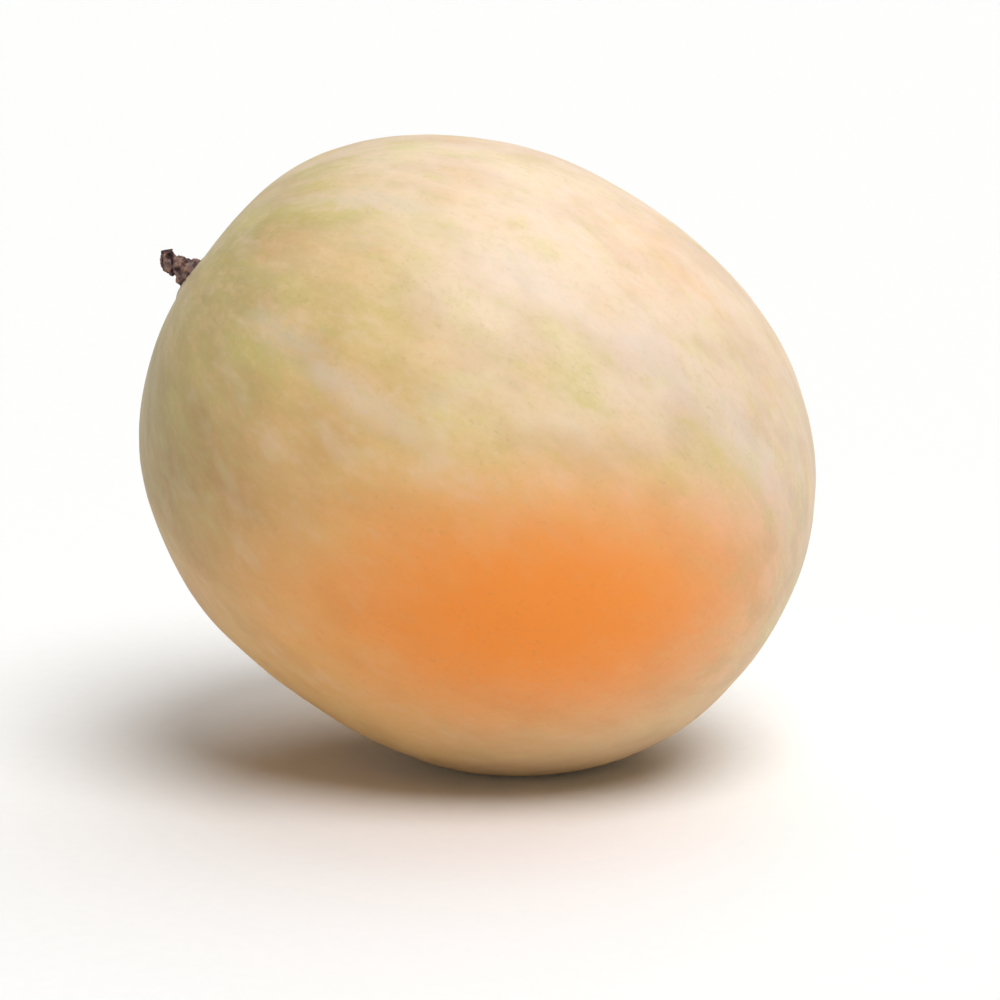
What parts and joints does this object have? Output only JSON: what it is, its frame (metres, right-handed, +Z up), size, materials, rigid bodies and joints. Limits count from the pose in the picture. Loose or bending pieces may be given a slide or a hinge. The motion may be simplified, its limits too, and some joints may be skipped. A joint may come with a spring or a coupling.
{
  "type": "cantaloupe melon",
  "caption": "Whole smooth-skinned melon, longer than it is wide, resting on a small flat spot with its dried stem end lifted.",
  "frame": {"origin": "centre of the flat spot that the fruit rests on", "axes": "+Z up; the fruit's own axis lies in the XZ plane, with the stem end towards -X and lifted 31.5 degrees, and the blossom end towards +X and down; +Y across"},
  "size_m": [0.1736, 0.1544, 0.1617],
  "materials": {
    "rind": "satin",
    "dried_stem": "matte"
  },
  "bodies": {
    "root": {"fruit": "rind", "stem": "dried_stem"}
  },
  "joints": []
}
